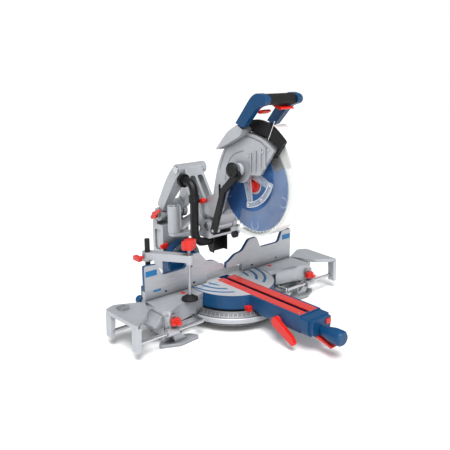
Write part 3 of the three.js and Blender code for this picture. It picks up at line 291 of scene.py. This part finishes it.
def blade_finish(name):
    """Blue coated plate with a painted sheen, pale expansion patterns and bright carbide tips."""
    g = Graph(name, 0.32, 0.45)
    radius = g.radius(g.y, g.z, *ARBOR)
    angle = g.math("ARCTAN2", g.math("SUBTRACT", g.z, ARBOR[1]), g.math("SUBTRACT", g.y, ARBOR[0]))
    # Painted reflection: the blue turns lighter and darker with the angle about the arbor, in three lobes.
    painted_sheen = g.math("MULTIPLY_ADD", g.math("SINE", g.math("MULTIPLY", angle, 3.0)), 0.25, 0.5)
    plate = g.blend(painted_sheen, (0.010, 0.050, 0.19), (0.030, 0.13, 0.38))
    turning = g.noise(0.9, 2)
    plate = g.blend(g.math("MULTIPLY", g.ramp(turning, 0.35, 0.7), 0.2), plate, (0.16, 0.36, 0.66))
    fifth = g.math("PINGPONG", g.math("ADD", angle, 0.35), math.pi / 5)
    arc = g.radius(g.math("MULTIPLY", fifth, 128.0), radius, 0.0, 128.0)
    curl = g.both(g.band(arc, 14, 16.2), g.ramp(radius, 118, 120))
    plate = g.blend(g.math("MULTIPLY", curl, 0.5), plate, (0.55, 0.66, 0.80))
    hub = g.band(radius, 0, 30)
    plate = g.blend(hub, plate, (0.55, 0.56, 0.58))
    tip = g.ramp(radius, 146.0, 148.0)
    colour = g.blend(tip, plate, (0.80, 0.81, 0.83))
    g.links.new(g.ramp(tip, 0, 1, 0.35, 0.85), g.bsdf.inputs["Metallic"])
    return g.finish(colour, height=g.noise(0.9, 3), bump=0.06, wear=0.4)


def clear_finish(name):
    """Clear moulding, milky at its rim and where it is seen edge on."""
    g = Graph(name, 0.12, 0.0)
    radius = g.radius(g.y, g.z, *GUARD_CENTRE)
    rim = g.ramp(radius, GUARD_R - 9, GUARD_R - 2.5)
    across = g.math("ABSOLUTE", g.nx)
    outer = g.both(g.ramp(across, 0.6, 0.2), g.ramp(radius, GUARD_R - 6, GUARD_R - 4))
    haze = g.ramp(g.noise(0.03, 4), 0.3, 0.7, 0.03, 0.08)
    layer = g.put("ShaderNodeLayerWeight", Blend=0.25)
    cover = g.math("ADD", haze, g.math("MULTIPLY", layer.outputs["Facing"], 0.10))
    beyond = g.ramp(g.radius(g.y, g.z, *ARBOR), 151, 158)
    cover = g.math("ADD", cover, g.math("MULTIPLY", beyond, 0.38))
    cover = g.math("ADD", cover, g.math("MULTIPLY", rim, 0.2))
    cover = g.math("ADD", cover, g.math("MULTIPLY", outer, 0.35), clamp=True)
    g.finish((0.84, 0.85, 0.83), height=g.noise(0.05, 2), bump=0.05, wear=0.1)
    g.bsdf.inputs["Transmission Weight"].default_value = 0.0
    see = g.put("ShaderNodeBsdfTransparent", Color=(0.985, 0.99, 0.985, 1))
    mix = g.put("ShaderNodeMixShader")
    g.links.new(cover, mix.inputs[0])
    g.links.new(see.outputs[0], mix.inputs[1])
    g.links.new(g.bsdf.outputs[0], mix.inputs[2])
    g.links.new(mix.outputs[0], g.nodes["Material Output"].inputs["Surface"])
    return g.mat


def moulded_black(name, rough=0.42, grain=2.2):
    """Grained black plastic or rubber."""
    g = Graph(name, rough, 0.0)
    g.bsdf.inputs["Specular IOR Level"].default_value = 0.28
    uneven = g.ramp(g.noise(0.06, 4), 0.3, 0.7, rough - 0.08, rough + 0.1)
    return g.finish(g.shade(BLACK, 0.35), height=g.noise(grain, 3), bump=0.35, distance=0.0005,
                    wear=0.12,
                    edge=0.18, edge_tint=(0.07, 0.072, 0.078), rough=uneven)


def plated(name, colour=(0.62, 0.63, 0.65), rough=0.26):
    g = Graph(name, rough, 0.95)
    rings = g.noise(1.4, 3, 0.6)
    return g.finish(g.blend(g.ramp(rings, 0.3, 0.7), tuple(c * 0.82 for c in colour), colour),
                    height=rings, bump=0.08, wear=0.4)


def spindle_finish(name):
    """Plated screw spindle under a red moulded wing knob; its thread painted darker in the roots and lighter on
    the crests.
    """
    g = Graph(name, 0.35, 0.0)
    knob = g.ramp(g.z, 277, 279)
    thread = g.math("SINE", g.math("MULTIPLY", g.z, 2 * math.pi / 2.0))
    # Painted shade and highlight: the grey follows the thread's relief, dark in the roots and light on the crests.
    thread_shade_and_highlight = g.blend(g.ramp(thread, -1, 1), (0.34, 0.35, 0.37), (0.60, 0.61, 0.63))
    colour = g.blend(knob, thread_shade_and_highlight, g.shade(RED))
    g.links.new(g.ramp(knob, 0, 1, 0.8, 0.0), g.bsdf.inputs["Metallic"])
    height = g.math("MULTIPLY", thread, g.math("SUBTRACT", 1.0, knob))
    return g.finish(colour, height=height, bump=0.35, wear=0.1, edge_tint=(0.95, 0.35, 0.25))


def bracket_finish(name):
    """Clear bracket, greyer where it is thick."""
    g = Graph(name, 0.15, 0.0)
    layer = g.put("ShaderNodeLayerWeight", Blend=0.35)
    haze = g.ramp(g.noise(0.05, 4), 0.3, 0.7, 0.16, 0.28)
    side = g.ramp(g.math("ABSOLUTE", g.nx), 0.6, 0.2, 0.0, 0.45)
    cover = g.math("ADD", haze, g.math("MULTIPLY", layer.outputs["Facing"], 0.2))
    cover = g.math("ADD", cover, side, clamp=True)
    g.finish((0.62, 0.66, 0.70), height=g.noise(0.06, 2), bump=0.06, wear=0.3)
    see = g.put("ShaderNodeBsdfTransparent", Color=(0.97, 0.98, 0.99, 1))
    mix = g.put("ShaderNodeMixShader")
    g.links.new(cover, mix.inputs[0])
    g.links.new(see.outputs[0], mix.inputs[1])
    g.links.new(g.bsdf.outputs[0], mix.inputs[2])
    g.links.new(mix.outputs[0], g.nodes["Material Output"].inputs["Surface"])
    return g.mat


silver = casting("cast_silver_paint")
# A lighter copy of the silver cast paint, used on the right chop boss only: painted light.
pale = casting("cast_silver_paint_lit_copy", (0.60, 0.615, 0.64))
bright_fence = brushed_fence("fence_milled_face")
table_paint = turntable_finish("turntable_paint")
scale_paint = scale_finish("mitre_scale_print")
kerf_red = kerf_finish("kerf_plate_red")
blade_paint = blade_finish("blade_coating")
clear = clear_finish("clear_guard_moulding")
spindle_paint = spindle_finish("clamp_spindle_finish")
bracket_clear = bracket_finish("clear_bracket")
blue = painted("blue_moulding", BLUE, 0.38, bump=0.25, edge_tint=(0.12, 0.30, 0.48))
red = painted("red_moulding", RED, 0.36, bump=0.15, edge_tint=(0.95, 0.35, 0.25), coat=0.3)
black = moulded_black("black_moulding")
rubber = moulded_black("black_rubber", 0.62, 3.0)
steel = plated("plated_steel")
dark_steel = plated("dark_steel", (0.16, 0.165, 0.18), 0.4)


# ------------------------------------------------------------------ mesh helpers

def soften(obj, angle=34):
    mesh = obj.data
    mesh.polygons.foreach_set("use_smooth", [True] * len(mesh.polygons))
    mesh.set_sharp_from_angle(angle=math.radians(angle))
    weighted = obj.modifiers.new("weighted", "WEIGHTED_NORMAL")
    weighted.keep_sharp = True
    weighted.weight = 100


def bake(obj):
    """Applies the modifiers, so that the mesh is final."""
    deps = bpy.context.evaluated_depsgraph_get()
    mesh = bpy.data.meshes.new_from_object(obj.evaluated_get(deps))
    obj.modifiers.clear()
    obj.data = mesh
    return obj


def new_piece(name, bm, material, body, bevel=0.0, segments=2, angle=34):
    """Makes a piece of a mesh, rounds its edges, shades it smooth and sets it on its body."""
    bmesh.ops.recalc_face_normals(bm, faces=bm.faces)
    mesh = bpy.data.meshes.new(name)
    bm.to_mesh(mesh)
    bm.free()
    obj = bpy.data.objects.new(name, mesh)
    bpy.context.scene.collection.objects.link(obj)
    mesh.materials.append(material)
    if bevel:
        mod = obj.modifiers.new("round", "BEVEL")
        mod.width = bevel * MM
        mod.segments = segments
        mod.limit_method = "ANGLE"
        mod.angle_limit = math.radians(38)
    bake(obj)
    soften(obj, angle)
    bake(obj)
    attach(obj, body)
    return obj


def dress(node, material, angle=34, bevel=0.0):
    """The CAD node's own shape, with its curved faces shaded smooth, in a real finish."""
    source = NODES[node]
    bm = bmesh.new()
    bm.from_mesh(source.data)
    bmesh.ops.remove_doubles(bm, verts=bm.verts, dist=1e-6)
    bmesh.ops.dissolve_limit(bm, angle_limit=math.radians(0.6), verts=bm.verts, edges=bm.edges)
    obj = new_piece(node + "_shell", bm, material, BODY_OF[node], bevel, 3, angle)
    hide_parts(node)
    return obj


AXES = {
    "x": lambda u, v, w: (w, u, v),
    "y": lambda u, v, w: (u, w, v),
    "z": lambda u, v, w: (u, v, w),
}


def flat(bm, axis, points, low, high):
    """A flat outline in the plane across an axis, filled between two places on it."""
    turn = AXES[axis]
    rings = [[bm.verts.new(at(*turn(u, v, w))) for u, v in points] for w in (low, high)]
    bm.faces.new(rings[0])
    bm.faces.new(list(reversed(rings[1])))
    count = len(points)
    for i in range(count):
        j = (i + 1) % count
        bm.faces.new((rings[0][i], rings[0][j], rings[1][j], rings[1][i]))


def plate(name, axis, points, low, high, material, body, bevel=0.6, **more):
    bm = bmesh.new()
    flat(bm, axis, points, low, high)
    return new_piece(name, bm, material, body, bevel, **more)


def rounded(points, steps=5):
    """Corners [u, v, radius] to a smooth outline."""
    result = []
    count = len(points)
    for index, corner in enumerate(points):
        here = Vector(corner[:2])
        radius = corner[2] if len(corner) > 2 else 0
        if not radius:
            result.append(tuple(here))
            continue
        before = Vector(points[index - 1][:2]) - here
        after = Vector(points[(index + 1) % count][:2]) - here
        start = here + before.normalized() * min(radius, before.length * 0.49)
        end = here + after.normalized() * min(radius, after.length * 0.49)
        for step in range(steps + 1):
            t = step / steps
            result.append(tuple(start * (1 - t) ** 2 + here * 2 * t * (1 - t) + end * t * t))
    return result


def circle(u, v, radius, count=24, start=0.0, stop=360.0):
    full = abs(stop - start) >= 359.9
    steps = count if full else count - 1
    return [(u + radius * math.cos(math.radians(start + (stop - start) * i / steps)),
             v + radius * math.sin(math.radians(start + (stop - start) * i / steps)))
            for i in range(count)]


def arc_band(u, v, inner, outer, start, stop, count=28):
    return circle(u, v, outer, count, start, stop) + list(
        reversed(circle(u, v, inner, count, start, stop)))


def lathe_into(bm, axis, u, v, profile, count=28):
    """Turned shape about an axis; profile is [radius, place] pairs from axis to axis."""
    turn = AXES[axis]
    rings = []
    for radius, place in profile:
        if radius < 1e-6:
            rings.append([bm.verts.new(at(*turn(u, v, place)))])
        else:
            rings.append([bm.verts.new(at(*turn(a, b, place))) for a, b in circle(u, v, radius, count)])
    for first, second in zip(rings, rings[1:]):
        for i in range(count):
            j = (i + 1) % count
            corners = [first[i % len(first)], first[j % len(first)],
                       second[j % len(second)], second[i % len(second)]]
            unique = list(dict.fromkeys(corners))
            if len(unique) > 2:
                bm.faces.new(unique)


def turned(name, axis, u, v, profile, material, body, count=28, **more):
    bm = bmesh.new()
    lathe_into(bm, axis, u, v, profile, count)
    return new_piece(name, bm, material, body, **more)


def screws(name, places, axis, sign, radius, material, body):
    """Socket-head screws with a round recess, at [u, v, face] places."""
    bm = bmesh.new()
    for u, v, face in places:
        top = face + sign * 1.8
        lathe_into(bm, axis, u, v, [[0, face - sign * 0.5], [radius, face - sign * 0.5],
                                    [radius, top - sign * 0.5], [radius - 0.5, top],
                                    [radius * 0.55, top], [radius * 0.5, top - sign * 1.5],
                                    [0, top - sign * 1.5]], 18)
    return new_piece(name, bm, material, body, angle=30)


def tube(name, path, radius, material, body, count=12):
    """A round section swept along a path."""
    bm = bmesh.new()
    points = [at(*p) for p in path]
    loops = []
    normal = None
    for i, point in enumerate(points):
        ahead = points[min(i + 1, len(points) - 1)] - points[max(i - 1, 0)]
        ahead.normalize()
        if normal is None:
            normal = ahead.orthogonal().normalized()
        normal = (normal - ahead * normal.dot(ahead)).normalized()
        side = ahead.cross(normal)
        loops.append([bm.verts.new(point + (normal * math.cos(a) + side * math.sin(a)) * radius * MM)
                      for a in (2 * math.pi * k / count for k in range(count))])
    for first, second in zip(loops, loops[1:]):
        for i in range(count):
            j = (i + 1) % count
            bm.faces.new((first[i], first[j], second[j], second[i]))
    bm.faces.new(list(reversed(loops[0])))
    bm.faces.new(loops[-1])
    return new_piece(name, bm, material, body)


# ------------------------------------------------------------------ finishes on the solids

FINISH = {
    silver: ["base_casting", "bevel_column", "lower_rear_link", "lower_front_link", "carriage",
             "head_casting", "fixed_fence_left", "fixed_fence_right", "clamp_arm",
             "upper_rear_link", "upper_front_link", "extension_support_left",
             "extension_support_right"],
    table_paint: ["turntable"],
    scale_paint: ["mitre_scale_ring"],
    bright_fence: ["sliding_fence_left", "sliding_fence_right"],
    kerf_red: ["kerf_plate_left", "kerf_plate_right"],
    blade_paint: ["saw_blade"],
    clear: ["lower_guard"],
    blue: ["arm_end_cap", "mitre_lock_knob", "motor_housing", "fence_lock_left",
           "fence_lock_right", "handle"],
    red: ["detent_override_button", "detent_lever", "bevel_lock_lever", "glide_lock_lever",
          "trigger", "lock_off_button", "head_lock_pin", "arbor_bolt", "clamp_lock_knob",
          "extension_lock_left", "extension_lock_right"],
    black: ["dust_duct", "dust_elbow", "front_guard", "guard_link", "guard_roller",
            "clamp_post"],
    bracket_clear: ["guard_bracket"],
    spindle_paint: ["clamp_spindle"],
    rubber: ["clamp_pad", "grip_sleeve"],
    steel: ["bevel_pivot_pin", "rear_hinge_pin", "apex_pin", "elbow_pin", "front_hinge_pin",
            "chop_pin", "arbor_shaft", "support_rod_left", "support_rod_right", "repeat_stop",
            "bevel_scale"],
    dark_steel: ["upper_guard"],
}
ROUNDED = {"handle": 4.0, "grip_sleeve": 4.5, "motor_housing": 3.0, "trigger": 1.5,
           "clamp_lock_knob": 2.0, "arm_end_cap": 1.5, "bevel_lock_lever": 1.5}
for finish, names in FINISH.items():
    for name in names:
        dress(name, finish, bevel=ROUNDED.get(name, 0.0))


# ------------------------------------------------------------------ trim

milky = painted("milky_moulding", (0.82, 0.84, 0.83), 0.3, bump=0.08)
label_blue = painted("label_blue", (0.012, 0.14, 0.33), 0.35, grain=2.5, bump=0.1)
# Black for the fence holes, cover slots, motor vents and fence joint: painted shade where their insides and gaps
# are dark.
hole_and_gap_shade = moulded_black("painted_hole_and_gap_shade", 0.8, 2.0)


def box_points(u0, u1, v0, v1, radius=1.0):
    return rounded([[u0, v0, radius], [u1, v0, radius], [u1, v1, radius], [u0, v1, radius]], 3)


def build_table_trim():
    screws("kerf_plate_screws", [(sx * 29, y, 114.0) for sx in (-1, 1)
                                 for y in (14, -95, -205, -335)], "z", 1, 3.4, dark_steel, "table")
    for side, name in ((-1, "left"), (1, "right")):
        turned("wing_tag_" + name, "z", side * 197, 14,
               [[0, 114.6], [8, 114.6], [8.4, 115.3], [7.6, 115.9], [0, 115.9]], red, "base")
        plate("fence_label_" + name, "y", box_points(side * 302 - 21, side * 302 + 21, 192, 211, 2),
              34.3, 35.4, label_blue, "fence_" + name, 0.3)
        plate("bevel_pointer_" + name, "y", rounded(
            [[side * 46, 160, 2], [side * 76, 164, 4], [side * 76, 176, 4], [side * 46, 182, 2]], 3),
            307, 318.4, red, "column", 1.2)
        # A dark strip along the foot of each fence: the joint line, drawn as a painted shadow of the gap there.
        plate("fence_joint_shadow_" + name, "z", box_points(*sorted((side * 84, side * 325)), 33.4, 34.9, 0.4),
              114.8, 115.5, hole_and_gap_shade, "base", 0.1)
    plate("fence_slot_cover", "y", box_points(-296, -267, 137, 143.5, 2), 34.4, 35.3,
          label_blue, "base", 0.2)
    # Dark discs in the fence holes: painted shade inside the holes.
    for index, x in enumerate((-248, -137, 127, 251)):
        turned(f"fence_hole_{index + 1}", "y", x, 129,
               [[0, 34.5], [2.4, 34.5], [3.4, 34.9], [3.6, 35.4], [0, 35.4]], hole_and_gap_shade, "base", 18)
    # Dark disc in the sliding fence's hole: painted shade inside it.
    turned("sliding_fence_hole", "y", -144, 187,
           [[0, 34.5], [2.2, 34.5], [3.0, 34.9], [3.2, 35.4], [0, 35.4]], hole_and_gap_shade, "fence_left", 18)
    plate("mitre_pointer", "y", rounded([[-62, 80, 3], [-44, 80, 3], [-46, 52, 2], [-53, 43, 1],
                                         [-60, 52, 2]], 3), -151, -132, red, "table", 1.4)


def build_head_trim():
    screws("cover_screws", [(-207, 585, -46), (-185, 577, -46), (-182, 530, -46), (-125, 560, -46),
                            (-60, 600, -46)], "x", -1, 4.6, steel, "head")
    # Dark plates in the cover's two slots: painted shade inside the slots.
    for index, y in enumerate((-12, 8)):
        plate(f"cover_slot_{index + 1}", "x", box_points(y - 5, y + 5, 402, 452, 4),
              -46.8, -45.5, hole_and_gap_shade, "head", 0.3)
    turned("hub_cap", "x", *GUARD_PIVOT, [[0, -71.8], [22, -71.8], [24, -74], [24, -80], [22, -82.5],
                                          [17, -83], [15, -80.5], [8, -80.5], [6, -82], [0, -82]],
           black, "guard", 36)
    places = circle(*GUARD_PIVOT, 115, 3, 199, 263)
    screws("bracket_screws", [(u, v, -21.0) for u, v in places], "x", -1, 5.4, steel, "guard")
    for index, radius in enumerate((107, 123)):
        path = [(-21.6, u, v) for u, v in circle(*GUARD_PIVOT, radius, 22, 197, 265)]
        tube(f"bracket_lip_{index + 1}", path, 1.0, milky, "guard", 8)
    rim = [(-16.0, u, v) for u, v in circle(*GUARD_CENTRE, GUARD_R - 2.5, 30, 205, 285)]
    tube("guard_rim_lip", rim, 1.2, milky, "guard", 8)
    edge = [(-46.3, 8, 500), (-46.3, -14, 552), (-46.3, -44, 588), (-46.3, -82, 608),
            (-46.3, -124, 616), (-46.3, -176, 606), (-46.3, -214, 584)]
    tube("cover_rim_line", smooth_path(edge), 0.9, dark_steel, "head", 8)
    inner = [(-46.3, -20, 470), (-46.3, -30, 520), (-46.3, -60, 556), (-46.3, -104, 572)]
    tube("cover_inner_line", smooth_path(inner), 0.8, dark_steel, "head", 8)
    tube("front_guard_seam", [(-36.2, -222, 668), (-36.2, -210, 640), (-36.2, -198, 613)], 0.9,
         milky, "head", 8)
    # The right boss takes the lighter copy of the cast paint: painted light on that side.
    for name, side in (("left", -1), ("right", 1)):
        turned("chop_boss_" + name, "x", 60, 302, [[0, side * 40], [17, side * 40], [19, side * 44],
                                                   [19, side * 47], [16, side * 49], [9, side * 49],
                                                   [8, side * 46], [0, side * 46]],
               silver if side < 0 else pale, "carriage_block", 32)


def build_duct_trim():
    turned("pipe_collar", "z", -86, 92, [[15.2, 388], [18, 389], [18.4, 393], [16.6, 395],
                                         [18.4, 397], [18, 402], [15.2, 403]], black,
           "carriage_block", 32)


def smooth_path(points, steps=6):
    """A curve through all of the points."""
    result = []
    for i in range(len(points) - 1):
        a, b = Vector(points[max(i - 1, 0)]), Vector(points[i])
        c, d = Vector(points[i + 1]), Vector(points[min(i + 2, len(points) - 1)])
        for k in range(steps):
            t = k / steps
            result.append(tuple(0.5 * (2 * b + (c - a) * t + (2 * a - 5 * b + 4 * c - d) * t * t
                                       + (3 * b - a - 3 * c + d) * t ** 3)))
    result.append(tuple(points[-1]))
    return result


def build_support_trim():
    plate("support_label", "x", box_points(-94, -74, 68, 96, 2), -439.5, -437.5, label_blue,
          "support_left", 0.3)


def build_motor_trim():
    # Ten dark discs for the motor's vent holes: painted shade inside the vents.
    bm = bmesh.new()
    for index in range(10):
        turn = math.radians(index * 36)
        lathe_into(bm, "x", 10 + 24 * math.cos(turn), 475 + 24 * math.sin(turn),
                   [[0, 171.6], [4.2, 171.6], [4.6, 172.2], [3.8, 172.6], [0, 172.6]], 14)
    new_piece("motor_vents", bm, hole_and_gap_shade, BODY_OF["motor_housing"])
    turned("motor_cap", "x", 10, 475, [[0, 171.5], [14, 171.5], [14, 173.4], [11, 174.4], [0, 174.4]],
           black, BODY_OF["motor_housing"], 30)
    turned("motor_seam", "x", 10, 475, [[45.6, 126], [46.9, 126.6], [46.9, 129.4], [45.6, 130]],
           black, BODY_OF["motor_housing"], 48)


build_support_trim()
build_motor_trim()
build_table_trim()
build_head_trim()
build_duct_trim()


# ------------------------------------------------------------------ stage

def build_stage():
    bm = bmesh.new()
    half = 9.0
    corners = [bm.verts.new((x, y, -0.0004)) for x, y in
               ((-half, -half), (half, -half), (half, half), (-half, half))]
    bm.faces.new(corners)
    mesh = bpy.data.meshes.new("floor")
    bm.to_mesh(mesh)
    bm.free()
    floor = bpy.data.objects.new("floor", mesh)
    bpy.context.scene.collection.objects.link(floor)
    g = Graph("floor_paper", 0.9, 0.0)
    g.finish(g.shade((0.90, 0.90, 0.90), 0.006, 0.002), bump=0.02, wear=0.0, edge=0.0)
    mesh.materials.append(g.mat)

    world = bpy.data.worlds.new("studio")
    bpy.context.scene.world = world
    world.use_nodes = True
    tree = world.node_tree
    tree.nodes["Background"].inputs[0].default_value = (0.96, 0.98, 1.0, 1)
    tree.nodes["Background"].inputs[1].default_value = 0.36
    backdrop = tree.nodes.new("ShaderNodeBackground")
    backdrop.inputs[0].default_value = (1.0, 1.0, 1.0, 1)
    path = tree.nodes.new("ShaderNodeLightPath")
    mix = tree.nodes.new("ShaderNodeMixShader")
    tree.links.new(path.outputs["Is Camera Ray"], mix.inputs[0])
    tree.links.new(tree.nodes["Background"].outputs[0], mix.inputs[1])
    tree.links.new(backdrop.outputs[0], mix.inputs[2])
    tree.links.new(mix.outputs[0], tree.nodes["World Output"].inputs["Surface"])

    sun = bpy.data.lights.new("sky_panel", "SUN")
    sun.energy = 3.7
    sun.angle = math.radians(32)
    lamp = bpy.data.objects.new("sky_panel", sun)
    bpy.context.scene.collection.objects.link(lamp)
    lamp.rotation_euler = (Vector((0.34, 0.42, -1.0))).to_track_quat("-Z", "Y").to_euler()

    target = at(0, 0, 300)
    for name, place, size, power in (
            ("front_panel", (-1.9, -1.7, 1.5), 1.4, 16),
            ("side_panel", (2.4, -1.6, 1.6), 1.8, 10)):
        light = bpy.data.lights.new(name, "AREA")
        light.shape = "DISK"
        light.size = size
        light.energy = power
        lamp = bpy.data.objects.new(name, light)
        bpy.context.scene.collection.objects.link(lamp)
        lamp.location = place
        lamp.rotation_euler = (target - Vector(place)).to_track_quat("-Z", "Y").to_euler()


def build_camera():
    camera = bpy.data.cameras.new("view")
    camera.sensor_width = 36.0
    camera.lens = 45.64
    camera.dof.use_dof = False
    eye = bpy.data.objects.new("view", camera)
    bpy.context.scene.collection.objects.link(eye)
    place = at(-1213.0, -1367.0, 824.2)
    target = at(-19.7, 12.25, 309.8)
    eye.location = place
    eye.rotation_euler = (target - place).to_track_quat("-Z", "Y").to_euler()
    bpy.context.scene.camera = eye


build_stage()
build_camera()
bpy.context.scene.view_settings.view_transform = "Standard"
